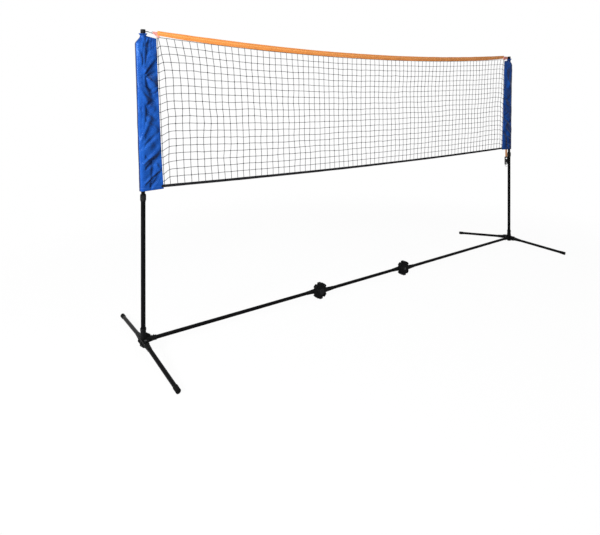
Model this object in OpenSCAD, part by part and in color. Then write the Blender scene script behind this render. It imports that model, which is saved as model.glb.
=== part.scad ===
// Portable badminton net on a folding base: three bars on two castellated fold hubs,
// four swivelling legs, telescopic posts and a sleeved net with a webbing top band.
// Millimetres. The floor is z = 0, +X runs along the net and +Y is the back.

/* [Overall] */
// Distance between the two post axes
span = 3020; // [2600:10:3400]
// Height of the post caps above the floor
cap_top_z = 1550; // [1500:5:1600]

/* [Base bars] */
// Outside diameter of the bars and legs
bar_d = 19; // [18:0.5:20]
// Wall of every steel tube
tube_wall = 1.2; // [1:0.1:1.5]
// Height of the bar axis
bar_z = 50; // [48:1:56]
// Left fold hub, measured from the middle of the net
left_hub_x = -443; // [-600:5:-350]
// Right fold hub, measured from the middle of the net
right_hub_x = 260; // [200:5:600]
// Sideways step from one bar to the next at a hub
bar_step = 22; // [22:0.5:24]

/* [Fold hubs] */
// Radius over the castellated rim
hub_r = 47; // [44:1:49]
// Radius at the foot of the notches
notch_r = 39; // [37:1:40]
// Number of notches round the rim
notches = 8; // [6:1:10]
// Thickness of one hub half
half_t = 17; // [16:0.5:18]
// Travel of the release button
button_travel = 5; // [4:0.5:5]

/* [Legs] */
// Distance from a leg's pin to its tip
leg_reach = 392; // [340:2:420]
// Distance from the post axis to a leg's pin
leg_pin_y = 34; // [34:1:38]
// Swing of the legs from square: left front, left back, right front, right back
leg_swing = [1.5, 3, 12.5, -14.5]; // [-15:0.5:15]

/* [Posts] */
// Outside diameter of the lower posts
lower_d = 22; // [22:0.5:23]
// Outside diameter of the upper posts
upper_d = 19; // [18.5:0.5:19]
// Top of the lower posts
lower_top_z = 738; // [700:1:742]

/* [Net] */
// Number of mesh columns between the sleeves
mesh_cols = 37; // [20:1:40]
// Number of mesh rows between the band and the hem
mesh_rows = 10; // [6:1:12]
// Width of the net's twine
twine_d = 2; // [1.5:0.1:3]
// Height of the webbing top band
band_h = 25; // [20:1:32]
// Sag of the top band at the middle
band_sag = 56; // [0:2:80]
// Height of the bottom hem
hem_h = 12; // [8:1:16]

/* [Hidden] */
$fn = 48;

LEFT = 0;
RIGHT = 1;
FRONT = 0;
BACK = 1;
fit = 0.08;        // running clearance of a pin or shaft
slack = 0.3;       // gap between pieces that slide past each other
seat = 0.05;       // gap of a tube in its own socket

// Legs: the footprint sets where the origin lies
foot_r = 12.5;
foot_len = 36;
sole_depth = 2;      // how deep a foot's underside is pared
leg_drop = bar_z - foot_r + sole_depth;
leg_slope = atan(leg_drop / leg_reach);
function swing(side, end) = leg_swing[2 * side + end];
function tip_x(side, end) = leg_reach * sin(swing(side, end));
function tip_y(side, end) = (end == FRONT ? -1 : 1) * (leg_pin_y + leg_reach * cos(swing(side, end)));
// How far a foot's round end reaches past the tip, across and along the leg
function past_x(side, end) = foot_r * norm([cos(swing(side, end)), sin(swing(side, end)) * sin(leg_slope)]);
function past_y(side, end) = foot_r * norm([sin(swing(side, end)), cos(swing(side, end)) * sin(leg_slope)]);
boss_rim_r = 20;
low_x = -span / 2 - boss_rim_r;
high_x = span / 2 + max(boss_rim_r, tip_x(RIGHT, FRONT) + past_x(RIGHT, FRONT));
post_dy = [bar_step, -bar_step];
low_y = min([for (s = [LEFT, RIGHT]) post_dy[s] + tip_y(s, FRONT) - past_y(s, FRONT)]);
high_y = max([for (s = [LEFT, RIGHT]) post_dy[s] + tip_y(s, BACK) + past_y(s, BACK)]);
mid_x = -(low_x + high_x) / 2;
mid_y = -(low_y + high_y) / 2;
post_x = [mid_x - span / 2, mid_x + span / 2];
post_y = [mid_y + post_dy[LEFT], mid_y + post_dy[RIGHT]];
hub_x = [mid_x + left_hub_x, mid_x + right_hub_x];
hub_y = [mid_y + bar_step / 2, mid_y - bar_step / 2];

// Base fitting
boss_r = 16;
boss_base_z = 26;
boss_top_z = 112;
post_seat_z = 62;
bar_boss_r = 15;
bar_boss_end = 64;
bar_seat_x = 26;
lug_r = 15;
lug_gap = 18.6;
lug_t = 5;
pin_r = 4;

// Knuckles
knuckle_h = 18;
knuckle_r = 13;
leg_seat = 24;
socket_end = 58;

// Fold hubs
face_gap = 0.2;
dimple_r = 31.5;
hub_socket_seat = 30;
hub_socket_end = 88;
hub_boss_r = 13.5;
rivet_r = 6;
rivet_head_r = 11;
rivet_seat = 5;
cavity_r = 22.4;
mouth_r = 18.4;
rim_u = 20;
button_r = 18;
button_foot = rivet_seat + 2 + button_travel;
button_out = 24;
spline_count = 12;
spring_turns = 3.5;

// Posts
lower_bore_r = lower_d / 2 - tube_wall;
upper_base_z = 600;
upper_top_z = cap_top_z - 10;
collar_base_z = lower_top_z - 16;
collar_top_z = lower_top_z + 18;
ring_r = 14;
ring_base_z = collar_base_z + 6;
ring_top_z = collar_top_z - 4;

// Net, drawn in its own plane: u runs along it from the left post to the right one
net_half = norm([span / 2, bar_step]);
net_yaw = -atan(2 * bar_step / span);
band_end_z = cap_top_z - 17;
hem_end_z = 787;
hem_sag = 16;
hem_stop = 25;       // from the hem's end to the post axis
band_t = 3;
hem_t = 5;
sleeve_base_z = 772;
sleeve_full_z = 1482;
sleeve_top_z = 1524;
sleeve_edge_low = 102;
sleeve_edge_high = 72;
sleeve_wall = 1.4;

function lerp(a, b, t) = a + (b - a) * t;
function band_z(x) = band_end_z - band_sag * (1 - pow(x / net_half, 2));
function hem_z(x) = hem_end_z - hem_sag * (1 - pow(x / net_half, 2));
function mesh_low(x) = hem_z(x) + hem_h / 2;
function mesh_high(x) = band_z(x) - band_h / 2;
// Distance from the post axis to the sleeve's net-side edge, at height z
function sleeve_edge(z) = lerp(sleeve_edge_low, sleeve_edge_high, (z - sleeve_base_z) / (sleeve_top_z - sleeve_base_z));
function net_edge(v) = net_half - lerp(sleeve_edge(hem_end_z), sleeve_edge(band_end_z), v) + 3;
// A knot of the net: column i, row j counted from the hem
function knot(i, j) = let (
    v = j / mesh_rows,
    x = net_edge(v) * (2 * i / mesh_cols - 1)
  ) [x, lerp(mesh_low(x), mesh_high(x), v)];

// ---------- shared shapes ----------

module tube(r, wall, h)
  difference() {
    cylinder(r = r, h = h);
    translate([0, 0, -1])
      cylinder(r = r - wall, h = h + 2);
  }

// A tube along +X
module tube_x(r, wall, length)
  rotate([0, 90, 0])
    tube(r, wall, length);

// Turns a profile of [radius, height] points about Z
module turned(profile)
  rotate_extrude()
    polygon(profile);

module torus(major, minor)
  rotate_extrude()
    translate([major, 0])
      circle(r = minor, $fn = 24);

// ---------- base bars ----------

module centre_bar()
  color("#17181a")
    translate([hub_x[LEFT] + hub_socket_seat, mid_y, bar_z])
      tube_x(bar_d / 2, tube_wall, hub_x[RIGHT] - hub_x[LEFT] - 2 * hub_socket_seat);

module outer_bar(side)
  color("#17181a") {
    start = side == LEFT ? post_x[LEFT] + bar_seat_x : hub_x[RIGHT] + hub_socket_seat;
    end = side == LEFT ? hub_x[LEFT] - hub_socket_seat : post_x[RIGHT] - bar_seat_x;
    translate([start, post_y[side], bar_z])
      tube_x(bar_d / 2, tube_wall, end - start);
  }

module left_bar() outer_bar(LEFT);
module right_bar() outer_bar(RIGHT);

// ---------- fold hubs ----------

// Puts a hub's own frame in place: its +Z is the hinge axis, pointing to the outer side of the
// half that is drawn, and its -X is the way that half's bar leaves
module at_hub(side, outer)
  translate([hub_x[side], hub_y[side], bar_z])
    rotate([(side == LEFT) == outer ? -90 : 90, 0, 0])
      mirror([(side == LEFT) == outer ? 0 : 1, 0, 0])
        children();

// The castellated rim: a disc with tapered notches between square-cornered lobes
module hub_rim_2d()
  difference() {
    circle(r = hub_r, $fn = 96);
    for (i = [0:notches - 1])
      rotate((i + 0.5) * 360 / notches)
        polygon([[notch_r, -4], [hub_r + 4, -8.2], [hub_r + 4, 8.2], [notch_r, 4]]);
  }

module hub_half_body()
  difference() {
    union() {
      translate([0, 0, face_gap])
        linear_extrude(height = half_t - 4 - face_gap)
          hub_rim_2d();
      turned([[0, face_gap], [notch_r - 1, face_gap], [notch_r - 1, half_t - 2], [notch_r - 3, half_t],
              [26, half_t], [24.5, rim_u], [0, rim_u]]);
      translate([0, 0, bar_step / 2])
        rotate([0, -90, 0])
          turned([[0, 16], [hub_boss_r, 16], [hub_boss_r, hub_socket_end - 8],
                  [hub_boss_r + 1.5, hub_socket_end - 6], [hub_boss_r + 1.5, hub_socket_end - 1],
                  [hub_boss_r + 0.5, hub_socket_end], [0, hub_socket_end]]);
    }
    translate([-100, -100, face_gap - 50])
      cube([200, 200, 50]);
    translate([-hub_socket_end - 1, 0, bar_step / 2])
      rotate([0, 90, 0])
        cylinder(r = bar_d / 2 + seat, h = hub_socket_end + 1 - hub_socket_seat);
    for (i = [0:notches - 1])
      rotate(i * 360 / notches)
        translate([dimple_r, 0, half_t - 2])
          cylinder(r = 3, h = 4);
  }

module hub_outer_half(side)
  color("#202124")
    at_hub(side, true)
      difference() {
        hub_half_body();
        cylinder(r = rivet_r + fit, h = 60, center = true);
        translate([0, 0, rim_u - 3])
          cylinder(r = rivet_head_r + slack, h = 5);
      }

// Internal spline of the inner half, and the button's teeth when grow is 0
module spline_2d(grow)
  union() {
    circle(r = button_r + 1 + grow, $fn = 64);
    for (i = [0:spline_count - 1])
      rotate(i * 360 / spline_count)
        translate([0, -2 - grow])
          square([cavity_r - slack + grow, 4 + 2 * grow]);
  }

module hub_inner_half(side)
  color("#202124")
    at_hub(side, false)
      difference() {
        hub_half_body();
        cylinder(r = rivet_r + fit, h = 60, center = true);
        translate([0, 0, rivet_seat])
          linear_extrude(height = half_t - rivet_seat)
            spline_2d(slack);
        translate([0, 0, rivet_seat])
          cylinder(r = mouth_r, h = 30);
      }

module hub_rivet(side)
  color("#a9adb2")
    at_hub(side, false) {
      translate([0, 0, 3 - rim_u])
        cylinder(r = rivet_r, h = rim_u + rivet_seat - 3 + 2);
      translate([0, 0, rivet_seat])
        turned([[0, 0], [rivet_head_r, 0], [rivet_head_r, 2], [rivet_head_r - 2, 3], [0, 3]]);
      translate([0, 0, 3 - rim_u])
        mirror([0, 0, 1])
          turned([[0, 0], [rivet_head_r, 0], [rivet_head_r, 1], [rivet_head_r - 3, 2.6], [0, 2.6]]);
    }

// Push button with a splined skirt that runs in the inner half
module hub_button(side)
  color("#2b2d31")
    at_hub(side, false)
      difference() {
        union() {
          translate([0, 0, button_foot])
            linear_extrude(height = half_t - button_foot - slack)
              spline_2d(0);
          turned([[0, button_foot], [button_r, button_foot], [button_r, button_out - 2],
                  [button_r - 2, button_out], [0, button_out]]);
        }
        translate([0, 0, button_foot - 1])
          cylinder(r = 13, h = button_out - button_foot - 2);
        translate([0, 0, button_out + 37])
          sphere(r = 38, $fn = 64);
      }

// Compression spring under the button
spring_r = 9;
wire_r = 0.8;
spring_low = rivet_seat + 3 + wire_r;
spring_high = button_out - 3 - wire_r;
function helix_ring(k, steps) = let (
    a = 360 * spring_turns * k / steps,
    c = [spring_r * cos(a), spring_r * sin(a), lerp(spring_low, spring_high, k / steps)]
  ) [for (m = [0:5]) c + wire_r * cos(60 * m) * [cos(a), sin(a), 0] + [0, 0, wire_r * sin(60 * m)]];

// Closed skin over a stack of rings of equal length
module skin(rings) {
  n = len(rings[0]);
  last = len(rings) - 1;
  polyhedron(
    points = [for (ring = rings) each ring],
    faces = concat(
      [[for (m = [n - 1:-1:0]) m]],
      [for (k = [0:last - 1], m = [0:n - 1]) [k * n + m, k * n + (m + 1) % n, (k + 1) * n + (m + 1) % n]],
      [for (k = [0:last - 1], m = [0:n - 1]) [k * n + m, (k + 1) * n + (m + 1) % n, (k + 1) * n + m]],
      [[for (m = [0:n - 1]) last * n + m]]
    )
  );
}

module hub_spring(side)
  color("#b8bcc2")
    at_hub(side, false)
      mirror([0, 1, 0])
        skin([for (k = [0:56]) helix_ring(k, 56)]);

module left_hub_outer_half() hub_outer_half(LEFT);
module right_hub_outer_half() hub_outer_half(RIGHT);
module left_hub_inner_half() hub_inner_half(LEFT);
module right_hub_inner_half() hub_inner_half(RIGHT);
module left_hub_rivet() hub_rivet(LEFT);
module right_hub_rivet() hub_rivet(RIGHT);
module left_hub_button() hub_button(LEFT);
module right_hub_button() hub_button(RIGHT);
module left_hub_spring() hub_spring(LEFT);
module right_hub_spring() hub_spring(RIGHT);

// ---------- base fittings ----------

// Puts a post's own frame in place: +X points to the middle of the net, +Y stays at the back
module at_post(side)
  translate([post_x[side], post_y[side], 0])
    mirror([side, 0, 0])
      children();

module lug(end)
  mirror([0, end == FRONT ? 1 : 0, 0])
    for (z = [-lug_gap / 2 - lug_t, lug_gap / 2])
      translate([0, 0, bar_z + z]) {
        translate([0, leg_pin_y, 0])
          cylinder(r = lug_r, h = lug_t);
        translate([-lug_r, 0, 0])
          cube([2 * lug_r, leg_pin_y, lug_t]);
      }

module base_fitting(side)
  color("#1b1c1f")
    at_post(side)
      difference() {
        union() {
          turned([[0, boss_base_z], [boss_r - 3, boss_base_z], [boss_r, boss_base_z + 4], [boss_r, boss_top_z - 16],
                  [boss_rim_r, boss_top_z - 10], [boss_rim_r, boss_top_z - 1.5], [boss_rim_r - 1.5, boss_top_z],
                  [0, boss_top_z]]);
          translate([0, 0, bar_z])
            rotate([0, 90, 0])
              turned([[0, 0], [bar_boss_r, 0], [bar_boss_r, bar_boss_end - 12], [bar_boss_r + 3, bar_boss_end - 8],
                      [bar_boss_r + 3, bar_boss_end - 1], [bar_boss_r + 2, bar_boss_end], [0, bar_boss_end]]);
          lug(FRONT);
          lug(BACK);
          // Web between the bar boss and the post boss
          translate([0, -3, bar_z])
            rotate([90, 0, 0])
              mirror([0, 0, 1])
                linear_extrude(height = 6)
                  polygon([[boss_r - 1, 10], [bar_boss_end - 14, 10], [boss_r - 1, 38]]);
        }
        translate([0, 0, post_seat_z])
          cylinder(r = lower_d / 2 + fit, h = 80);
        translate([bar_seat_x, 0, bar_z])
          rotate([0, 90, 0])
            cylinder(r = bar_d / 2 + seat, h = 80);
        for (y = [-leg_pin_y, leg_pin_y])
          translate([0, y, 0])
            cylinder(r = pin_r + seat, h = 120);
        // Screw holes through the bar boss
        for (x = [36, 50])
          translate([x, 0, bar_z])
            cylinder(r = 1.8, h = 40);
        // Screw recesses on the bar boss
        for (x = [36, 50])
          translate([x, 0, bar_z + bar_boss_r - 1.5])
            cylinder(r = 3.6, h = 40);
      }

module leg_pins(side)
  color("#9a9ea3")
    at_post(side)
      for (y = [-leg_pin_y, leg_pin_y])
        translate([0, y, bar_z - lug_gap / 2 - lug_t]) {
          cylinder(r = pin_r, h = lug_gap + 2 * lug_t);
          translate([0, 0, lug_gap + 2 * lug_t])
            turned([[0, 0], [7, 0], [7, 1], [4.5, 2.6], [0, 2.6]]);
          mirror([0, 0, 1])
            cylinder(r = 6, h = 1.5);
        }

// Pan-head screws that hold the bar in the fitting's boss
module fitting_screws(side)
  color("#8d9196")
    at_post(side)
      for (x = [36, 50])
        translate([x, 0, bar_z + bar_d / 2 + 0.1]) {
          cylinder(r = 1.7, h = 5);
          translate([0, 0, bar_boss_r - 1.5 - bar_d / 2 - 0.1])
            difference() {
              turned([[0, 0], [3.4, 0], [3.4, 1.2], [2.2, 2.4], [0, 2.4]]);
              for (a = [0, 90])
                rotate(a)
                  translate([-1.8, -0.4, 1.4])
                    cube([3.6, 0.8, 2]);
            }
        }

module left_base_fitting() base_fitting(LEFT);
module right_base_fitting() base_fitting(RIGHT);
module left_leg_pins() leg_pins(LEFT);
module right_leg_pins() leg_pins(RIGHT);
module left_fitting_screws() fitting_screws(LEFT);
module right_fitting_screws() fitting_screws(RIGHT);

// ---------- legs ----------

// Puts a leg's own frame in place: +X runs out level from the pin, at bar height
module at_leg(side, end)
  translate([post_x[side], post_y[side] + (end == FRONT ? -leg_pin_y : leg_pin_y), bar_z])
    rotate(end == FRONT ? swing(side, end) - 90 : 90 - swing(side, end))
      children();

module sloped()
  rotate([0, leg_slope, 0])
    children();

module knuckle(side, end)
  color("#1f2023")
    at_leg(side, end)
      difference() {
        union() {
          translate([0, 0, -knuckle_h / 2])
            cylinder(r = knuckle_r, h = knuckle_h);
          translate([0, -knuckle_r + 2, -knuckle_h / 2])
            cube([leg_seat, 2 * knuckle_r - 4, knuckle_h]);
          sloped()
            rotate([0, 90, 0])
              turned([[0, 17], [11.5, 17], [13, 20], [13, socket_end - 8], [14, socket_end - 6],
                      [14, socket_end - 1], [13, socket_end], [0, socket_end]]);
        }
        cylinder(r = pin_r + fit, h = 60, center = true);
        sloped()
          translate([leg_seat, 0, 0])
            rotate([0, 90, 0])
              cylinder(r = bar_d / 2 + seat, h = 60);
      }

module leg(side, end)
  color("#17181a")
    at_leg(side, end)
      sloped()
        translate([leg_seat, 0, 0])
          tube_x(bar_d / 2, tube_wall, leg_reach / cos(leg_slope) - leg_seat - 5);

// Rubber foot: a ribbed cap with its underside pared flat to the floor
module foot(side, end)
  color("#101113")
    at_leg(side, end)
      difference() {
        sloped()
          translate([leg_reach / cos(leg_slope), 0, 0])
            rotate([0, -90, 0])
              difference() {
                turned([[0, 0], [foot_r - 2, 0], [foot_r, 2], [foot_r, 12], [foot_r - 1, 13], [foot_r - 1, 16],
                        [foot_r, 17], [foot_r, 24], [foot_r - 1, 25], [foot_r - 1, 28], [foot_r, 29],
                        [foot_r, foot_len - 1], [foot_r - 1, foot_len], [0, foot_len]]);
                translate([0, 0, 5])
                  cylinder(r = bar_d / 2 + seat, h = 60);
              }
        translate([300, -50, -bar_z - 50])
          cube([200, 100, 50]);
      }

module left_front_knuckle() knuckle(LEFT, FRONT);
module left_back_knuckle() knuckle(LEFT, BACK);
module right_front_knuckle() knuckle(RIGHT, FRONT);
module right_back_knuckle() knuckle(RIGHT, BACK);
module left_front_leg() leg(LEFT, FRONT);
module left_back_leg() leg(LEFT, BACK);
module right_front_leg() leg(RIGHT, FRONT);
module right_back_leg() leg(RIGHT, BACK);
module left_front_foot() foot(LEFT, FRONT);
module left_back_foot() foot(LEFT, BACK);
module right_front_foot() foot(RIGHT, FRONT);
module right_back_foot() foot(RIGHT, BACK);

// ---------- posts ----------

module lower_post(side)
  color("#17181a")
    at_post(side)
      translate([0, 0, post_seat_z])
        tube(lower_d / 2, tube_wall, lower_top_z - post_seat_z);

// Fixed collar on top of the lower post: grips its end and guides the upper post
module post_collar(side)
  color("#202124")
    at_post(side)
      difference() {
        turned([[0, collar_base_z], [12.4, collar_base_z], [12.4, collar_top_z - 3], [13.4, collar_top_z - 2.5],
                [13.4, collar_top_z], [0, collar_top_z]]);
        translate([0, 0, collar_base_z - 1])
          cylinder(r = lower_d / 2 + seat, h = lower_top_z - collar_base_z + 1);
        cylinder(r = upper_d / 2 + fit, h = 900);
        // Slit that lets the lock ring squeeze the collar
        translate([0, -0.75, lower_top_z + 2])
          cube([30, 1.5, 40]);
      }

// Twist ring round the collar, with finger flutes
module lock_ring(side)
  color("#26272b")
    at_post(side)
      translate([0, 0, ring_base_z])
        difference() {
          cylinder(r = ring_r, h = ring_top_z - ring_base_z);
          translate([0, 0, -1])
            cylinder(r = 12.4 + fit, h = 60);
          for (i = [0:15])
            rotate(i * 22.5)
              translate([ring_r + 0.4, 0, 3])
                cylinder(r = 1.2, h = ring_top_z - ring_base_z - 6, $fn = 16);
        }

module upper_post(side)
  color("#1a1b1d")
    at_post(side)
      translate([0, 0, upper_base_z])
        tube(upper_d / 2, tube_wall, upper_top_z - upper_base_z);

module post_cap(side)
  color("#141517")
    at_post(side)
      difference() {
        turned([[0, cap_top_z - 24], [11.5, cap_top_z - 24], [12, cap_top_z - 23], [12, cap_top_z - 13],
                [11, cap_top_z - 12], [11, cap_top_z - 7], [12, cap_top_z - 6], [12, cap_top_z - 2],
                [10, cap_top_z], [0, cap_top_z]]);
        translate([0, 0, cap_top_z - 25])
          cylinder(r = upper_d / 2 + seat, h = 15);
      }

module left_lower_post() lower_post(LEFT);
module right_lower_post() lower_post(RIGHT);
module left_post_collar() post_collar(LEFT);
module right_post_collar() post_collar(RIGHT);
module left_lock_ring() lock_ring(LEFT);
module right_lock_ring() lock_ring(RIGHT);
module left_upper_post() upper_post(LEFT);
module right_upper_post() upper_post(RIGHT);
module left_post_cap() post_cap(LEFT);
module right_post_cap() post_cap(RIGHT);

// ---------- net ----------

module in_net_plane()
  translate([mid_x, mid_y, 0])
    rotate(net_yaw)
      children();

// The same as at_post, but turned with the net
module at_net_end(side)
  in_net_plane()
    mirror([side, 0, 0])
      translate([-net_half, 0, 0])
        children();

// Stands a flat [x, z] outline up in the net's plane, t thick
module upright_sheet(t)
  translate([0, t / 2, 0])
    rotate([90, 0, 0])
      linear_extrude(height = t)
        children();

// Wire hook in the groove of the post cap, with an eye for the strap
module cap_hook(side)
  color("#33353a")
    at_net_end(side)
      translate([0, 0, cap_top_z - 9.5]) {
        torus(12.2, 1.1);
        translate([12.2 + 7, 0, 0])
          torus(7, 1.1);
      }

// One knotted mesh: a quadrilateral opening between four knots
module mesh_hole(i, j) {
  w = twine_d / 2;
  polygon([knot(i, j) + [w, w], knot(i + 1, j) + [-w, w], knot(i + 1, j + 1) + [-w, -w], knot(i, j + 1) + [w, -w]]);
}

module netting()
  color("#1d1f24")
    in_net_plane()
      upright_sheet(twine_d)
        difference() {
          polygon(concat(
            [for (i = [0:mesh_cols]) knot(i, 0)],
            [for (j = [1:mesh_rows - 1]) knot(mesh_cols, j)],
            [for (i = [mesh_cols:-1:0]) knot(i, mesh_rows)],
            [for (j = [mesh_rows - 1:-1:1]) knot(0, j)]
          ));
          for (i = [0:mesh_cols - 1], j = [0:mesh_rows - 1])
            mesh_hole(i, j);
        }

// A strip that follows one edge of the mesh: row j, with the far side h away
module edge_strip(j, h)
  polygon(concat(
    [for (i = [0:mesh_cols]) knot(i, j)],
    [for (i = [mesh_cols:-1:0]) knot(i, j) + [0, h]]
  ));

module top_band()
  color("#e07d2d")
    in_net_plane()
      upright_sheet(band_t)
        edge_strip(mesh_rows, band_h);

// The hem runs on inside each sleeve, where the tension strap is sewn to it
module bottom_hem()
  color("#15171c") {
    in_net_plane()
      upright_sheet(hem_t)
        edge_strip(0, -hem_h);
    inner = net_edge(0) - 1;
    outer = net_half - hem_stop;
    for (side = [LEFT, RIGHT])
      in_net_plane()
        mirror([side, 0, 0])
          upright_sheet(hem_t)
            polygon([[inner, mesh_low(inner)], [outer, mesh_low(outer)],
                     [outer, mesh_low(outer) - hem_h], [inner, mesh_low(inner) - hem_h]]);
  }

// Webbing loop from the band's end to the eye of the cap hook
module band_strap(side)
  color("#d8a79a")
    at_net_end(side)
      difference() {
        start = 23;
        end = net_half - net_edge(1);
        top = mesh_high(net_edge(1)) + band_h - 2;
        upright_sheet(4)
          polygon([[start, cap_top_z - 15], [start + 6, cap_top_z - 18], [end, top - 18], [end, top],
                   [start + 6, cap_top_z - 3], [start, cap_top_z - 5]]);
        translate([start - 1, -5, cap_top_z - 12.5])
          cube([7, 10, 6]);
      }

module left_cap_hook() cap_hook(LEFT);
module right_cap_hook() cap_hook(RIGHT);
module left_band_strap() band_strap(LEFT);
module right_band_strap() band_strap(RIGHT);

// Fabric sleeve over the upper post. Its outline is a blunt-nosed leaf: the nose wraps the post
// and the tail meets the net. It leans to the net at the bottom and is drawn in at the top.
sleeve_nose_low = -18;
sleeve_nose_high = -37;
sleeve_half_t = 22;
sleeve_points = 32;
sleeve_levels = [0, 0.1, 0.25, 0.4, 0.55, 0.7, 0.85, 1];
function sleeve_ring(z, inset, gather) = let (
    t = min(1, (z - sleeve_base_z) / (sleeve_full_z - sleeve_base_z)),
    nose = lerp(lerp(sleeve_nose_low, sleeve_nose_high, t), -14, gather) + inset,
    tail = lerp(sleeve_edge(z), 16, gather) - inset,
    half = lerp(sleeve_half_t, 13, gather) - inset
  ) [for (m = [0:sleeve_points - 1]) let (a = 360 * m / sleeve_points) [
    (nose + tail) / 2 - (tail - nose) / 2 * cos(a),
    sign(sin(a)) * half * pow(abs(sin(a)), 0.7) * (1 - 0.45 * pow((1 - cos(a)) / 2, 2)),
    z
  ]];

module sleeve_solid(inset, over)
  mirror([0, 1, 0])
    skin(concat(
      [sleeve_ring(sleeve_base_z - over, inset, 0)],
      [for (t = sleeve_levels) sleeve_ring(lerp(sleeve_base_z, sleeve_full_z, t) + (t == 0 ? 1 : 0), inset, 0)],
      [for (g = [0.25, 0.6, 0.9]) sleeve_ring(lerp(sleeve_full_z, sleeve_top_z, g), inset, g * g)],
      [sleeve_ring(sleeve_top_z + over, inset, 1)]
    ));

module sleeve(side)
  color("#1f56c8")
    at_net_end(side)
      difference() {
        sleeve_solid(0, 0);
        sleeve_solid(sleeve_wall, 1);
      }

module left_sleeve() sleeve(LEFT);
module right_sleeve() sleeve(RIGHT);

// ---------- tension strap at the right post ----------
strap_x = 38;
strap_w = 26;
strap_low_z = 716;
buckle_w = 40;
buckle_top_z = 724;
buckle_low_z = 658;
buckle_t = 7;
window_w = 28;
lever_pin_z = 700;
// The shut lever ends above the sweep of the ring
lever_len = 26;
ring_wire = 1.6;
ring_hoop_r = 12;
ring_bar_r = 3.5;
ring_bar_z = buckle_low_z + 4;

module tension_strap()
  color("#e8a25c")
    at_net_end(RIGHT)
      translate([strap_x - strap_w / 2, -1, strap_low_z])
        cube([strap_w, 2, mesh_low(net_half - strap_x - strap_w / 2) - hem_h - strap_low_z]);

// Ladder frame of the cam buckle: strap slot on top, lever window, and a bar for the ring
module buckle_frame()
  color("#17181b")
    at_net_end(RIGHT) {
      translate([strap_x, 0, ring_bar_z])
        rotate([0, 90, 0])
          cylinder(r = ring_bar_r, h = window_w + 4, center = true);
      difference() {
        translate([strap_x, 0, 0])
          upright_sheet(buckle_t)
            difference() {
              translate([-buckle_w / 2, buckle_low_z])
                square([buckle_w, buckle_top_z - buckle_low_z]);
              for (m = [-1, 1])
                translate([m * buckle_w / 2, buckle_low_z])
                  circle(r = 5);
              // Ring window, open below the round bar that crosses it
              translate([-window_w / 2, buckle_low_z - 1])
                square([window_w, 19]);
              translate([-window_w / 2, buckle_low_z + 24])
                square([window_w, 32]);
            }
        translate([strap_x - strap_w / 2 - 0.2, -1.1, buckle_top_z - 12])
          cube([strap_w + 0.4, 2.2, 30]);
        translate([strap_x, 0, lever_pin_z])
          rotate([0, 90, 0])
            cylinder(r = 2 + seat, h = 60, center = true);
      }
    }

module buckle_pin()
  color("#8d9196")
    at_net_end(RIGHT)
      translate([strap_x, 0, lever_pin_z])
        rotate([0, 90, 0])
          cylinder(r = 2, h = buckle_w, center = true);

// Cam lever: hugs the frame when shut and lifts away from it about the pin
module buckle_lever()
  color("#232428")
    at_net_end(RIGHT)
      translate([strap_x, 0, lever_pin_z])
        difference() {
          union() {
            rotate([0, 90, 0])
              cylinder(r = 5, h = 27, center = true);
            translate([-13.5, -8, -lever_len])
              cube([27, 4, lever_len]);
            translate([-13.5, -8, -4])
              cube([27, 8, 8]);
          }
          rotate([0, 90, 0])
            cylinder(r = 2 + fit, h = 60, center = true);
          for (z = [3 - lever_len:4:-9])
            translate([-15, -8.6, z])
              cube([30, 1.4, 1.6]);
        }

module strap_ring()
  color("#9a9ea3")
    at_net_end(RIGHT)
      translate([strap_x, 0, ring_bar_z + ring_bar_r + seat - ring_hoop_r + ring_wire])
        rotate([0, 90, 0])
          torus(ring_hoop_r, ring_wire);

centre_bar();
left_bar();
right_bar();
left_hub_outer_half();
left_hub_inner_half();
right_hub_outer_half();
right_hub_inner_half();
left_hub_rivet();
right_hub_rivet();
left_hub_button();
right_hub_button();
left_hub_spring();
right_hub_spring();
left_base_fitting();
right_base_fitting();
left_front_knuckle();
left_back_knuckle();
right_front_knuckle();
right_back_knuckle();
left_front_leg();
left_back_leg();
right_front_leg();
right_back_leg();
left_front_foot();
left_back_foot();
right_front_foot();
right_back_foot();
left_leg_pins();
right_leg_pins();
left_fitting_screws();
right_fitting_screws();
left_lower_post();
right_lower_post();
left_post_collar();
right_post_collar();
left_lock_ring();
right_lock_ring();
left_upper_post();
right_upper_post();
left_post_cap();
right_post_cap();
left_cap_hook();
right_cap_hook();
netting();
top_band();
bottom_hem();
left_band_strap();
right_band_strap();
left_sleeve();
right_sleeve();
tension_strap();
buckle_frame();
buckle_lever();
buckle_pin();
strap_ring();
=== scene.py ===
# Portable badminton net: folding base, telescopic posts, sleeved net with a webbing top band.
import math

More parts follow.
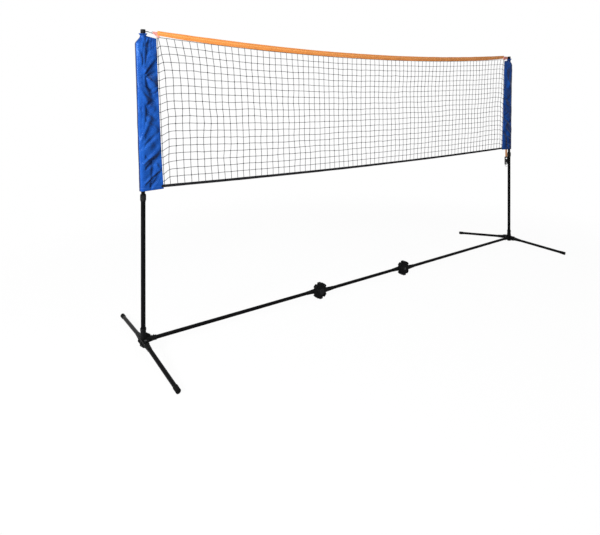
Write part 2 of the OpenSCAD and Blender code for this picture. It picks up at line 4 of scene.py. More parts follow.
import bpy
import numpy as np
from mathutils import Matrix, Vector


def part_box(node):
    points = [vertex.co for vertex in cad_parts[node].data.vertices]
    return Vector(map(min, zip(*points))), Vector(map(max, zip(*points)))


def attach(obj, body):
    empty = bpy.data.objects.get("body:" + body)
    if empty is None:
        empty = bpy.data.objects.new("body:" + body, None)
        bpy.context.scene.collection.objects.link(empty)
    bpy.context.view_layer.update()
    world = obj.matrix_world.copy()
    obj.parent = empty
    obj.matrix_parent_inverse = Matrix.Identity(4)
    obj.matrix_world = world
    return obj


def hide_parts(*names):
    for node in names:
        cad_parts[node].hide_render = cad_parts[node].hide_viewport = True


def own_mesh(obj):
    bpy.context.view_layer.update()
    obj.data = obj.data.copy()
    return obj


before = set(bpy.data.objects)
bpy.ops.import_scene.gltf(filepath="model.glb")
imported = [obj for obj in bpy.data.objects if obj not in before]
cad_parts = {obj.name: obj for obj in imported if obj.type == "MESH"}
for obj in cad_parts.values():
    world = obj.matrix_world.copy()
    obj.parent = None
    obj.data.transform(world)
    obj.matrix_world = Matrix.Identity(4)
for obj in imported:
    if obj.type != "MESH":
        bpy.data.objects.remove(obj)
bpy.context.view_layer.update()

# ---------- camera, floor and light ----------
# A lens level with the net's lower half, looking along the net from its left end. The floor is a
# pale sheet that lets most of the white ground behind it through, so bars folded under it show.
CAMERA_PLACE = (-2.3044, -2.3533, 1.2377)
CAMERA_YAW = math.radians(-35.349)
CAMERA_TILT = math.radians(90 - 0.121)
LENS_PIXELS = 492.6
FRAME_WIDTH = 600
SENSOR_MM = 36.0
RISE = -0.287

camera_data = bpy.data.cameras.new("camera")
camera_data.sensor_width = SENSOR_MM
camera_data.lens = LENS_PIXELS / FRAME_WIDTH * SENSOR_MM
camera_data.shift_y = RISE
camera = bpy.data.objects.new("camera", camera_data)
camera.location = CAMERA_PLACE
camera.rotation_euler = (CAMERA_TILT, 0.0, CAMERA_YAW)
bpy.context.collection.objects.link(camera)
bpy.context.scene.camera = camera
bpy.context.scene.view_settings.view_transform = "Standard"


class Wire:
    """A shader socket. Arithmetic on it adds Math nodes, so a pattern reads as a formula."""

    def __init__(self, tree, socket):
        self.tree, self.socket = tree, socket

    def math(self, operation, *values):
        return node(self.tree, "ShaderNodeMath", {"operation": operation}, *values)

    def __add__(self, other): return self.math("ADD", self, other)
    def __sub__(self, other): return self.math("SUBTRACT", self, other)
    def __rsub__(self, other): return self.math("SUBTRACT", other, self)
    def __mul__(self, other): return self.math("MULTIPLY", self, other)
    def __gt__(self, other): return self.math("GREATER_THAN", self, other)
    __radd__, __rmul__ = __add__, __mul__


def node(tree, kind, settings, *values, out=0, **named):
    """Adds any node: settings first, then its inputs in order and by name. Gives its output."""
    made = tree.nodes.new(kind)
    for key, value in settings.items():
        setattr(made, key, value)
    for key, value in [*enumerate(values), *named.items()]:
        if value is None:
            continue
        socket = made.inputs[key] if isinstance(key, int) else made.inputs[key.replace("_", " ")]
        if isinstance(value, Wire):
            tree.links.new(value.socket, socket)
        else:
            socket.default_value = value
    return Wire(tree, made.outputs[out])


def blank(name):
    """A new material with only its output, and the tree that it is drawn in."""
    material = bpy.data.materials.new(name)
    material.use_nodes = True
    material.node_tree.nodes.clear()
    return material, material.node_tree


def show(tree, shader):
    """Links a shader to the material's output."""
    output = tree.nodes.new("ShaderNodeOutputMaterial")
    tree.links.new(shader.socket, output.inputs["Surface"])


def blend(tree, share, first, second):
    """A colour between two, by share: 0 gives the first and 1 the second."""
    return node(tree, "ShaderNodeMix", {"data_type": "RGBA"}, share, None, None, None, None, None,
                first, second, out=2)


FLOOR_SPAN = 30.0
FLOOR_SEEN = 0.04
FLOOR_FADE = (1.6, 3.2)


def floor_material():
    """White paint, mostly see-through to the camera and wholly so away from the net."""
    material, tree = blank("floor_white")
    spot = node(tree, "ShaderNodeTexCoord", {}, out=3)
    far = node(tree, "ShaderNodeVectorMath", {"operation": "LENGTH"}, spot, out=1)
    near = node(tree, "ShaderNodeMapRange", {"interpolation_type": "SMOOTHSTEP"},
                far, FLOOR_FADE[0], FLOOR_FADE[1], FLOOR_SEEN, 0.0)
    to_camera = node(tree, "ShaderNodeLightPath", {}, out=0)
    cover = 1 - to_camera * (1 - near)
    paint = node(tree, "ShaderNodeBsdfDiffuse", {}, (0.9, 0.9, 0.9, 1.0))
    clear = node(tree, "ShaderNodeBsdfTransparent", {})
    show(tree, node(tree, "ShaderNodeMixShader", {}, cover, clear, paint))
    return material


floor_mesh = bpy.data.meshes.new("floor")
edge = FLOOR_SPAN / 2
floor_mesh.from_pydata([(-edge, -edge, -0.0005), (edge, -edge, -0.0005), (edge, edge, -0.0005),
                        (-edge, edge, -0.0005)], [], [(0, 1, 2, 3)])
floor = bpy.data.objects.new("floor", floor_mesh)
floor.data.materials.append(floor_material())
bpy.context.collection.objects.link(floor)

SKY = 0.13
world = bpy.data.worlds.new("studio")
bpy.context.scene.world = world
world.use_nodes = True
world.node_tree.nodes.clear()
paths = world.node_tree.nodes.new("ShaderNodeLightPath")
seen = Wire(world.node_tree, paths.outputs["Is Camera Ray"])
seen = seen.math("MAXIMUM", seen, Wire(world.node_tree, paths.outputs["Is Transmission Ray"]))
seen = seen.math("MAXIMUM", seen, Wire(world.node_tree, paths.outputs["Is Glossy Ray"]))
sky = node(world.node_tree, "ShaderNodeBackground", {}, (1.0, 1.0, 1.0, 1.0), SKY + (1.0 - SKY) * seen)
world_out = world.node_tree.nodes.new("ShaderNodeOutputWorld")
world.node_tree.links.new(sky.socket, world_out.inputs["Surface"])


def softbox(name, place, aim, size, power):
    """A square area lamp at place, turned to face aim."""
    data = bpy.data.lights.new(name, "AREA")
    data.shape, data.size, data.energy = "SQUARE", size, power
    lamp = bpy.data.objects.new(name, data)
    lamp.location = place
    lamp.rotation_euler = (Vector(aim) - Vector(place)).to_track_quat("-Z", "Y").to_euler()
    bpy.context.collection.objects.link(lamp)


softbox("key", place=(-4.7, -1.5, 1.9), aim=(-1.4, 0.0, 1.2), size=0.9, power=250.0)
softbox("front", place=(-1.5, -2.9, 2.2), aim=(-0.5, 0.0, 1.0), size=1.5, power=33.0)
softbox("top", place=(-0.5, -0.4, 4.0), aim=(-0.2, 0.0, 0.4), size=2.4, power=45.0)

# ---------- steel tubes ----------
# Bars, legs and posts are thin-walled steel tube, cut square and coated with a glossy black
# powder that leaves a faint orange peel and picks up a little dust.
COAT_BLACK = (0.0012, 0.0012, 0.0015, 1.0)
COAT_DUST = (0.0045, 0.0045, 0.005, 1.0)


def powder_coat():
    """Black gloss over fine pits; cloudy dust roughens it."""
    material, tree = blank("black_powder_coat")
    spot = node(tree, "ShaderNodeTexCoord", {}, out=3)
    dust = node(tree, "ShaderNodeTexNoise", {}, spot, None, 14.0, 4.0, 0.6)
    peel = node(tree, "ShaderNodeTexNoise", {}, spot, None, 900.0, 1.0)
    colour = blend(tree, dust * dust, COAT_BLACK, COAT_DUST)
    bump = node(tree, "ShaderNodeBump", {}, Strength=0.12, Distance=0.0002, Height=peel)
    show(tree, node(tree, "ShaderNodeBsdfPrincipled", {}, Base_Color=colour, Roughness=0.2 + 0.16 * dust,
                    Specular_IOR_Level=0.035, Normal=bump))
    return material


def dress(material, *names):
    """Gives CAD pieces, which keep their own meshes, this material."""
    for name in names:
        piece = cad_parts[name]
        piece.data.materials.clear()
        piece.data.materials.append(material)


def finish_piece(piece, material, body, slot, *nodes):
    """Gives a new piece its material and its body, and hides the CAD nodes that it stands for. slot is not
    used.
    """
    piece.data.materials.clear()
    piece.data.materials.append(material)
    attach(piece, body)
    if nodes:
        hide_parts(*nodes)
    return piece


SIDES = ("left", "right")
LEGS = [f"{side}_{end}" for side in SIDES for end in ("front", "back")]
dress(powder_coat(), "centre_bar", *[f"{side}_{part}" for side in SIDES
                                     for part in ("bar", "lower_post", "upper_post")],
      *[f"{leg}_leg" for leg in LEGS])

# ---------- mouldings ----------
# Fittings, knuckles, hub halves, collars, caps and the buckle are glass-filled nylon with a
# spark-eroded grain. Their sockets fit close round the tubes, so they are drawn in to hug them.
NYLON_BLACK = (0.0015, 0.0015, 0.0015, 1.0)
NYLON_GREY = (0.006, 0.006, 0.0065, 1.0)


def moulded_nylon(name, base, light):
    """Grainy satin plastic: two sizes of grain in the bump, flow clouds in the colour."""
    material, tree = blank(name)
    spot = node(tree, "ShaderNodeTexCoord", {}, out=3)
    flow = node(tree, "ShaderNodeTexNoise", {}, spot, None, 35.0, 3.0, 0.55)
    grain = node(tree, "ShaderNodeTexNoise", {}, spot, None, 1600.0, 2.0, 0.6)
    colour = blend(tree, flow, base, light)
    bump = node(tree, "ShaderNodeBump", {}, Strength=0.25, Distance=0.0002, Height=grain)
    show(tree, node(tree, "ShaderNodeBsdfPrincipled", {}, Base_Color=colour, Roughness=0.38 + 0.22 * flow,
                    Specular_IOR_Level=0.05, Normal=bump))
    return material


def points_of(mesh):
    """The corners of a mesh, one row each."""
    points = np.empty(3 * len(mesh.vertices))
    mesh.vertices.foreach_get("co", points)
    return points.reshape(-1, 3)


def drawn_in(name, node_name, *sockets):
    """A copy of a CAD piece whose sockets hug their tubes. Past start, counted up the tube from its
    end, whatever stands over the tube within reach keeps only a share of its height."""
    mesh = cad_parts[node_name].data.copy()
    mesh.name = name
    points = points_of(mesh)
    for tube, start, reach, share in sockets:
        wall = points_of(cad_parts[tube].data)
        middle = (wall.min(0) + wall.max(0)) / 2
        run = np.linalg.svd(wall - middle, full_matrices=False)[2][0]
        half_length = np.abs((wall - middle) @ run).max()
        off_axis = (wall - middle) - ((wall - middle) @ run)[:, None] * run
        bare = np.linalg.norm(off_axis, axis=1).max() + 0.0001
        along = (points - middle) @ run
        out = points - middle - along[:, None] * run
        radius = np.linalg.norm(out, axis=1)
        depth = half_length - along * np.sign(along.mean())
        drawn = (depth > start) & (radius > bare) & (radius < reach)
        factor = np.where(drawn, (bare + (radius - bare) * share) / np.maximum(radius, 1e-6), 1)
        moved = middle + along[:, None] * run + out * factor[:, None]
        points = np.where((points[:, 2:] < 0.0002) & (moved[:, 2:] > points[:, 2:]),
                          moved * [1, 1, 0] + points * [0, 0, 1], moved)
    mesh.vertices.foreach_set("co", points.ravel())
    piece = bpy.data.objects.new(name, mesh)
    bpy.context.collection.objects.link(piece)
    return piece


nylon = moulded_nylon("black_nylon", NYLON_BLACK, NYLON_GREY)
dress(nylon, "buckle_frame", "left_post_collar", "right_post_collar", "left_post_cap", "right_post_cap")
for side in SIDES:
    for part, body, bar in (("outer", f"{side}_base", f"{side}_bar"), ("inner", "centre_base", "centre_bar")):
        hub = drawn_in(f"{side}_hub_{part}_shell", f"{side}_hub_{part}_half", (bar, 0.0175, 0.02, 0.25))
        finish_piece(hub, nylon, body, "black_moulding", f"{side}_hub_{part}_half")
    fitting = drawn_in(f"{side}_fitting_shell", f"{side}_base_fitting",
                       (f"{side}_lower_post", 0.014, 0.024, 0.36), (f"{side}_bar", 0.012, 0.022, 0.3))
    finish_piece(fitting, nylon, f"{side}_base", "black_moulding", f"{side}_base_fitting")
for leg in LEGS:
    knuckle = drawn_in(f"{leg}_knuckle_shell", f"{leg}_knuckle", (f"{leg}_leg", 0.004, 0.02, 0.3))
    finish_piece(knuckle, nylon, f"{leg}_leg", "black_moulding", f"{leg}_knuckle")
dress(moulded_nylon("charcoal_nylon", NYLON_GREY, (0.014, 0.014, 0.015, 1.0)), "buckle_lever",
      *[f"{side}_{part}" for side in SIDES for part in ("hub_button", "lock_ring")])

# ---------- rubber feet ----------
# Ribbed push-on caps of black rubber, matt, scuffed grey low down where they meet the ground.
RUBBER_BLACK = (0.0025, 0.0025, 0.0025, 1.0)
RUBBER_SCUFF = (0.016, 0.0155, 0.015, 1.0)
SCUFF_HEIGHT = 0.010


def rubber():
    """Matt black; grey scuffs fade out upwards from the floor."""
    material, tree = blank("foot_rubber")
    spot = node(tree, "ShaderNodeTexCoord", {}, out=3)
    height = node(tree, "ShaderNodeSeparateXYZ", {}, spot, out=2)
    low = node(tree, "ShaderNodeMapRange", {}, height, 0.0, SCUFF_HEIGHT, 1.0, 0.0)
    rub = node(tree, "ShaderNodeTexNoise", {}, spot, None, 260.0, 3.0, 0.6)
    colour = blend(tree, low * rub, RUBBER_BLACK, RUBBER_SCUFF)
    bump = node(tree, "ShaderNodeBump", {}, Strength=0.3, Distance=0.0003, Height=rub)
    show(tree, node(tree, "ShaderNodeBsdfPrincipled", {}, Base_Color=colour, Roughness=0.62 + 0.2 * rub,
                    Specular_IOR_Level=0.05, Normal=bump))
    return material


black_rubber = rubber()
for leg in LEGS:
    foot = drawn_in(f"{leg}_foot_cap", f"{leg}_foot", (f"{leg}_leg", -0.1, 0.03, 0.6))
    finish_piece(foot, black_rubber, f"{leg}_leg", "rubber", f"{leg}_foot")

# ---------- pins, screws, springs and wire ----------
# The springs and the strap ring are zinc-plated steel, dulled in patches. Rivets, pins and screws
# have a black oxide finish, and the cap hooks are wire in a dark coating.
ZINC_LIGHT = (0.58, 0.59, 0.60, 1.0)
ZINC_DULL = (0.36, 0.36, 0.37, 1.0)


def plated(name, light, dull, metal, roughness):
    """Metal with spangled patches that shift its colour and roughness together."""
    material, tree = blank(name)
    spot = node(tree, "ShaderNodeTexCoord", {}, out=3)
    spangle = node(tree, "ShaderNodeTexNoise", {}, spot, None, 420.0, 3.0, 0.6)
    colour = blend(tree, spangle, light, dull)
    bump = node(tree, "ShaderNodeBump", {}, Strength=0.1, Distance=0.0002, Height=spangle)
    show(tree, node(tree, "ShaderNodeBsdfPrincipled", {}, Base_Color=colour, Metallic=metal,
                    Roughness=roughness + 0.2 * spangle, Normal=bump))
    return material


zinc = plated("zinc_plate", ZINC_LIGHT, ZINC_DULL, 1.0, 0.22)
dress(zinc, "strap_ring")
for side in SIDES:
    coil = bpy.data.objects.new(f"{side}_hub_coil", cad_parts[f"{side}_hub_spring"].data.copy())
    bpy.context.collection.objects.link(coil)
    finish_piece(coil, zinc, "centre_base", "zinc_steel", f"{side}_hub_spring")
    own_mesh(coil)
dress(plated("black_oxide", (0.030, 0.030, 0.032, 1.0), (0.012, 0.012, 0.013, 1.0), 0.5, 0.35), "buckle_pin",
      *[f"{side}_{part}" for side in SIDES for part in ("hub_rivet", "leg_pins", "fitting_screws")])
dark_wire = plated("dark_wire", (0.05, 0.05, 0.055, 1.0), (0.02, 0.02, 0.022, 1.0), 0.6, 0.35)
dress(dark_wire, "left_cap_hook", "right_cap_hook")

# ---------- netting ----------
# Knotted polyethylene twine in square meshes, hung from the band and laced to the sleeves. Rows
# drop towards each sleeve, where the lacing pulls them down, and no two meshes are quite alike.
MESH_COLUMNS = 74
MESH_ROWS = 19
TWINE_RADIUS = 0.0014
KNOT_RADIUS = 0.0032
SIDE_GAP = 0.042
SIDE_GAPS = ((0.0, 0.036), (0.2, 0.039), (0.5, 0.046), (0.73, 0.040), (0.82, 0.033), (0.94, 0.019),
             (1.0, 0.010))
SIDE_REACH = 0.30
SELVEDGE = 0.006
LACE_DROP = 0.019
WANDER = 0.0026
BELLY = 0.007
STEPS_PER_MESH = 3
BAND_HEIGHT = 0.025
HEM_HEIGHT = 0.012
HEM_STOP = 0.025
BAND_LIFT = 0.0045
BAND_TILT = 0.003
BAND_END_LIFT = 0.0035
HEM_TILT = 0.0055
BAND_GAP = 0.004
EDGE_SAG = 0.006


def post_axis(name):
    """The middle of an upright tube, seen from above."""
    low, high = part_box(name)
    return np.array([(low.x + high.x) / 2, (low.y + high.y) / 2])


left_axis, right_axis = post_axis("left_upper_post"), post_axis("right_upper_post")
net_middle = (left_axis + right_axis) / 2
net_half = float(np.linalg.norm(right_axis - left_axis)) / 2
net_along = (right_axis - left_axis) / (2 * net_half)
net_back = np.array([-net_along[1], net_along[0]])


def in_net(along, back, height):
    """Points from distances along the net from its middle, behind its plane, and over the floor."""
    along, back, height = np.broadcast_arrays(along, back, height)
    flat = net_middle + along[..., None] * net_along + back[..., None] * net_back
    return np.concatenate([flat, height[..., None]], axis=-1)


band_low, band_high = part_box("top_band")
hem_low, hem_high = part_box("bottom_hem")
band_reach = (band_high.x - band_low.x) / 2
band_end = band_high.z - BAND_HEIGHT / 2
band_middle = band_low.z + BAND_HEIGHT / 2
hem_end = hem_high.z - HEM_HEIGHT / 2
hem_middle = hem_low.z + HEM_HEIGHT / 2


def band_line(along):
    """Height of the band's centre line: a parabola through its ends and its middle, with the pull
    of the straps, which is stronger at the right."""
    reach = along / band_reach
    return (band_middle + BAND_LIFT + BAND_TILT * reach
            + (band_end - band_middle + BAND_END_LIFT) * reach ** 2)


def hem_line(along):
    """Height of the hem's centre line, the same way: its right end hangs higher."""
    reach = along / band_reach
    return hem_middle + HEM_TILT * (1 + reach) + (hem_end - hem_middle) * reach ** 2


SLEEVE_EDGE_LOW = 0.102
SLEEVE_EDGE_HIGH = 0.064
sleeve_low, sleeve_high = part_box("left_sleeve")


def sleeve_edge(height):
    """How far a sleeve's net-side edge stands from its post: a lean that slackens upwards."""
    t = np.clip((height - sleeve_low.z) / (sleeve_high.z - sleeve_low.z), 0, 1) ** 0.8
    return SLEEVE_EDGE_LOW + (SLEEVE_EDGE_HIGH - SLEEVE_EDGE_LOW) * t


def drift(shape, coarse, seed):
    """Smooth random numbers from -1 to 1: a coarse random grid, blended by cosine steps."""
    random = np.random.default_rng(seed).uniform(-1, 1, (coarse[0] + 2, coarse[1] + 2))
    i = np.linspace(0, coarse[0], shape[0])
    j = np.linspace(0, coarse[1], shape[1])
    a, b = i.astype(int), j.astype(int)
    s = (1 - np.cos((i - a) * np.pi))[:, None] / 2
    t = (1 - np.cos((j - b) * np.pi))[None, :] / 2

    def corner(da, db):
        return random[np.ix_(a + da, b + db)]

    low = corner(0, 0) * (1 - s) + corner(1, 0) * s
    high = corner(0, 1) * (1 - s) + corner(1, 1) * s
    return low * (1 - t) + high * t


def skin(name, rings, wrap=True, caps=True, uv_size=(1.0, 1.0)):
    """A mesh over rings[strip, step, point]: quads join each ring to the next, flat caps shut the
    ends, and the faces are turned so that the enclosed volume is positive. The UV map runs with
    the steps and round the rings, scaled to uv_size."""
    strips, steps, points = rings.shape[:3]
    index = np.arange(strips * steps * points).reshape(strips, steps, points)
    here, there = (index, np.roll(index, -1, 2)) if wrap else (index[:, :, :-1], index[:, :, 1:])
    quads = np.stack([here[:, :-1], there[:, :-1], there[:, 1:], here[:, 1:]], -1).reshape(-1, 4)
    place = rings.reshape(-1, 3)
    centre = place.mean(0)
    a, b, c, d = (place[quads[:, k]] - centre for k in range(4))
    volume = np.einsum("ij,ij->", a, np.cross(b, c)) + np.einsum("ij,ij->", a, np.cross(c, d))
    order = [0, 1, 2, 3] if volume > 0 else [3, 2, 1, 0]
    faces = quads[:, order].tolist()
    if caps:
        ends = (index[:, 0, ::-1], index[:, -1, :]) if volume > 0 else (index[:, 0, :], index[:, -1, ::-1])
        faces += ends[0].tolist() + ends[1].tolist()
    mesh = bpy.data.meshes.new(name)
    mesh.from_pydata(place.tolist(), [], faces)
    columns = here.shape[2]
    u = np.broadcast_to(np.arange(steps)[None, :, None], (strips, steps, columns)) / max(steps - 1, 1)
    v = np.broadcast_to(np.arange(columns)[None, None, :], (strips, steps, columns)) / columns
    next_v = v + 1 / columns
    corners = np.stack([np.stack([u[:, :-1], v[:, :-1]], -1), np.stack([u[:, :-1], next_v[:, :-1]], -1),
                        np.stack([u[:, 1:], next_v[:, 1:]], -1), np.stack([u[:, 1:], v[:, 1:]], -1)], -2)
    corners = corners.reshape(-1, 4, 2)[:, order].reshape(-1, 2) * np.array(uv_size)
    uv = np.zeros((len(mesh.loops), 2))
    uv[:len(corners)] = corners
    layer = mesh.uv_layers.new(name="cloth")
    layer.data.foreach_set("uv", uv.astype(np.float32).ravel())
    mesh.shade_smooth()
    piece = bpy.data.objects.new(name, mesh)
    bpy.context.collection.objects.link(piece)
    return piece


def tubes(paths_in, radius, sides):
    """Rings for round cords. paths_in is [cord, step, xyz]; each ring lies square to its cord, turned
    from the cord's own direction, the across direction of the net and the one square to both."""
    ahead = np.gradient(paths_in, axis=1)
    ahead /= np.linalg.norm(ahead, axis=-1, keepdims=True)
    back = np.broadcast_to(np.append(net_back, 0.0), ahead.shape)
    side = np.cross(ahead, back)
    side /= np.linalg.norm(side, axis=-1, keepdims=True)
    other = np.cross(ahead, side)
    angle = np.arange(sides) * 2 * np.pi / sides
    ring = np.cos(angle)[:, None] * side[..., None, :] + np.sin(angle)[:, None] * other[..., None, :]
    return paths_in[..., None, :] + np.asarray(radius)[..., None, None] * ring


def eased(knots, steps, axis):
    """A smooth path through knots along one axis: Catmull-Rom cubics with the given steps each."""
    p = np.moveaxis(knots, axis, 0)
    p = np.concatenate([2 * p[:1] - p[1:2], p, 2 * p[-1:] - p[-2:-1]])
    t = (np.arange(steps) / steps).reshape(1, -1, *([1] * (p.ndim - 1)))
    a, b, c, d = p[:-3, None], p[1:-2, None], p[2:-1, None], p[3:, None]
    run = 0.5 * (2 * b + (c - a) * t + (2 * a - 5 * b + 4 * c - d) * t ** 2
                 + (3 * b - a - 3 * c + d) * t ** 3)
    run = run.reshape(-1, *p.shape[1:])
    return np.moveaxis(np.concatenate([run, p[-2:-1]]), 0, axis)


def mesh_knots():
    """Knot places [column, row]: even between the sleeves and between hem and band, then each
    pushed by a slow drift and a quick one, and bellied out of the net's plane."""
    size = (MESH_COLUMNS + 1, MESH_ROWS + 1)
    s = np.linspace(-1, 1, size[0])[:, None]
    v = np.linspace(0, 1, size[1])[None, :]
    loose = np.minimum(1, 6 * np.minimum(v, 1 - v) + 0.15)
    rough = hem_end + (band_end - hem_end) * v
    along = (net_half - sleeve_edge(rough) - SIDE_GAP) * s
    gap = np.interp(v, *np.array(SIDE_GAPS).T)
    along = along + (SIDE_GAP - gap) * np.sign(s) * np.exp(-(1 - np.abs(s)) / SIDE_REACH)
    along = along + WANDER * loose * (1.3 * drift(size, (26, 7), 3) + 0.7 * drift(size, (70, 17), 4))
    low = hem_line(along) + HEM_HEIGHT / 2
    high = band_line(along) - BAND_HEIGHT / 2 - BAND_GAP
    height = low + (high - low) * v
    height = height + WANDER * loose * (1.2 * drift(size, (18, 6), 5) + 0.8 * drift(size, (72, 18), 6))
    near = np.exp(-(1 - np.abs(s)) * MESH_COLUMNS / 1.6)
    height = height - EDGE_SAG * near * loose
    back = BELLY * loose * drift(size, (7, 3), 7)
    return along, back, height


along, back, height = mesh_knots()
knots = in_net(along, back, height)
middle_rows = slice(1, MESH_ROWS)
ends_height = height[[0, -1]] - LACE_DROP * (0.75 + 0.35 * drift((2, MESH_ROWS + 1), (1, 12), 8))
ends_height[:, 0] = height[[0, -1], 0]
ends_height[:, -1] = height[[0, -1], -1] - 0.004
ends_along = (net_half - sleeve_edge(ends_height) - SELVEDGE) * np.array([[-1], [1]])
laced = in_net(ends_along, 0 * ends_along, ends_height)
sewn_along = ends_along + 1.25 * SELVEDGE * np.array([[-1], [1]])
sewn = in_net(sewn_along, 0 * ends_along, ends_height + 0.002)
across = np.concatenate([sewn[:1], laced[:1], knots, laced[1:], sewn[1:]])
row_paths = np.moveaxis(eased(across, STEPS_PER_MESH, 0), 1, 0)
column_paths = eased(np.concatenate([laced[:1], knots, laced[1:]]), STEPS_PER_MESH, 1)

twist = np.linspace(0, np.pi, 4)[:, None]
round_knot = np.arange(6) * np.pi / 3
ball = np.stack([np.cos(twist) * np.ones(6), np.sin(twist) * np.cos(round_knot),
                 np.sin(twist) * np.sin(round_knot)], -1)
ball = KNOT_RADIUS * ball * np.array([0.85, 0.8, 1.15])
knot_points = np.concatenate([knots[:, middle_rows].reshape(-1, 3), laced[:, middle_rows].reshape(-1, 3)])
knot_size = 1 + 0.18 * np.random.default_rng(9).uniform(-1, 1, len(knot_points))
knot_rings = knot_points[:, None, None, :] + knot_size[:, None, None, None] * ball


TWINE_DARK = (0.007, 0.007, 0.011, 1.0)
TWINE_WORN = (0.024, 0.025, 0.032, 1.0)


def twine():
    """Dull dark plastic cord with fine fibre streaks."""
    material, tree = blank("net_twine")
    spot = node(tree, "ShaderNodeTexCoord", {}, out=3)
    fibre = node(tree, "ShaderNodeTexNoise", {}, spot, None, 700.0, 2.0, 0.6)
    colour = blend(tree, fibre, TWINE_DARK, TWINE_WORN)
    bump = node(tree, "ShaderNodeBump", {}, Strength=0.5, Distance=0.0003, Height=fibre)
    show(tree, node(tree, "ShaderNodeBsdfPrincipled", {}, Base_Color=colour, Roughness=0.6,
                    Specular_IOR_Level=0.08, Normal=bump))
    return material


def joined(name, *parts):
    """One mesh object from several, by Blender's own join."""
    with bpy.context.temp_override(active_object=parts[0], selected_editable_objects=list(parts)):
        bpy.ops.object.join()
    parts[0].name = parts[0].data.name = name
    return parts[0]


net = joined("netting_twine", skin("rows", tubes(row_paths, TWINE_RADIUS, 5)),
             skin("columns", tubes(column_paths, TWINE_RADIUS, 5)),
             skin("knots", knot_rings, caps=False))
finish_piece(net, twine(), "net_set", "twine", "netting")

# ---------- webbing ----------
# Woven polypropylene tape: the orange top band is a folded tape sewn along both edges, and the
# bottom hem is a narrower black one. Both bow a little between the stitches.
WEBBING_THREAD = 0.0016
STITCH_LENGTH = 0.0055
STITCH_INSET = 0.0035


def webbing(name, light, dark, thread_colour, width, stitched=True, sheen=0.2):
    """Ribs run along the tape and picks cross them, both as sine bumps on the UV map in metres. The
    stitch lines are short dashes a set distance from each edge."""
    material, tree = blank(name)
    spot = node(tree, "ShaderNodeUVMap", {"uv_map": "cloth"})
    split = tree.nodes.new("ShaderNodeSeparateXYZ")
    tree.links.new(spot.socket, split.inputs[0])
    run, wide = Wire(tree, split.outputs[0]), Wire(tree, split.outputs[1])
    turns = 2 * math.pi / WEBBING_THREAD
    rib = run.math("SINE", wide * turns)
    pick = run.math("SINE", run * turns + 1.6 * rib)
    weave = 0.5 + 0.25 * rib + 0.25 * pick
    cloud = node(tree, "ShaderNodeTexNoise", {}, node(tree, "ShaderNodeTexCoord", {}, out=3), None, 22.0, 3.0)
    colour = blend(tree, 0.55 * weave + 0.45 * cloud, dark, light)
    height = weave
    if stitched:
        span = run.math("PINGPONG", wide, width / 2)
        line = 1 - (run.math("ABSOLUTE", span - STITCH_INSET) > 0.0006)
        dash = run.math("FRACT", run * (1 / STITCH_LENGTH)) > 0.28
        stitch = line * dash
        colour = blend(tree, stitch, colour, thread_colour)
        height = weave + 1.2 * stitch
    bump = node(tree, "ShaderNodeBump", {}, Strength=0.7, Distance=0.0005, Height=height)
    show(tree, node(tree, "ShaderNodeBsdfPrincipled", {}, Base_Color=colour, Roughness=0.72,
                    Specular_IOR_Level=0.1, Sheen_Weight=sheen, Normal=bump))
    return material


ORANGE = (0.76, 0.285, 0.060, 1.0)
ORANGE_DEEP = (0.60, 0.19, 0.038, 1.0)
ORANGE_THREAD = (0.86, 0.40, 0.12, 1.0)
TAPE_BLACK = (0.003, 0.003, 0.004, 1.0)
TAPE_GREY = (0.011, 0.011, 0.013, 1.0)
TAPE_STEPS = 420
BAND_STOP = 0.070


def tape_outline(width, thick, count):
    """A tape's cross-section, as (across, out) pairs: a flat loop with round edges, slightly
    crowned. across is w/2 cos(a) squared off by a power, out is t/2 sin(a) likewise."""
    angle = np.arange(count) * 2 * np.pi / count
    square = lambda value, power: np.sign(value) * np.abs(value) ** power
    return width / 2 * square(np.cos(angle), 0.45), thick / 2 * square(np.sin(angle), 0.7)


def tape(name, along, centre, width, thick, ripple, seed, drawn=0.0):
    """A tape that follows a centre line in the net's plane. Its edges ripple out of the plane,
    more at the lower edge, and it breathes a little in width; drawn is the share gathered in."""
    up, out = tape_outline(width, thick, 28)
    steps = len(along)
    wave = ripple * drift((steps, 2), (46, 1), seed)
    slow = 1.6 * ripple * drift((steps, 2), (9, 1), seed + 1)
    lean = (0.5 - up / width)[None, :]
    back = out[None, :] + wave[:, :1] * lean + slow[:, :1]
    breath = 1 + 0.03 * drift((steps, 2), (60, 1), seed + 2)[:, :1] - np.reshape(drawn, (-1, 1))
    rings = in_net(along[:, None], back, centre[:, None] + up[None, :] * breath)
    length = float(np.abs(along[-1] - along[0]))
    return skin(name, rings[None], uv_size=(length, 2 * width))


band_along = np.linspace(-1, 1, TAPE_STEPS) * (net_half - BAND_STOP)
drawn = 0.28 * np.exp(-(net_half - BAND_STOP - np.abs(band_along)) / 0.13)
band = tape("top_band_tape", band_along, band_line(band_along) + drawn * BAND_HEIGHT / 2,
            BAND_HEIGHT * 1.22, 0.003, 0.0016, 11, drawn)
finish_piece(band, webbing("orange_webbing", ORANGE, ORANGE_DEEP, ORANGE_THREAD, BAND_HEIGHT),
             "net_set", "orange_webbing", "top_band")
hem_along = np.linspace(-1, 1, TAPE_STEPS) * (net_half - HEM_STOP)
hem = tape("bottom_hem_tape", hem_along, hem_line(hem_along), HEM_HEIGHT * 1.15, 0.005, 0.0012, 21)
black_webbing = webbing("black_webbing", TAPE_GREY, TAPE_BLACK, TAPE_GREY, HEM_HEIGHT, sheen=0.0)
finish_piece(hem, black_webbing, "net_set", "black_webbing", "bottom_hem")

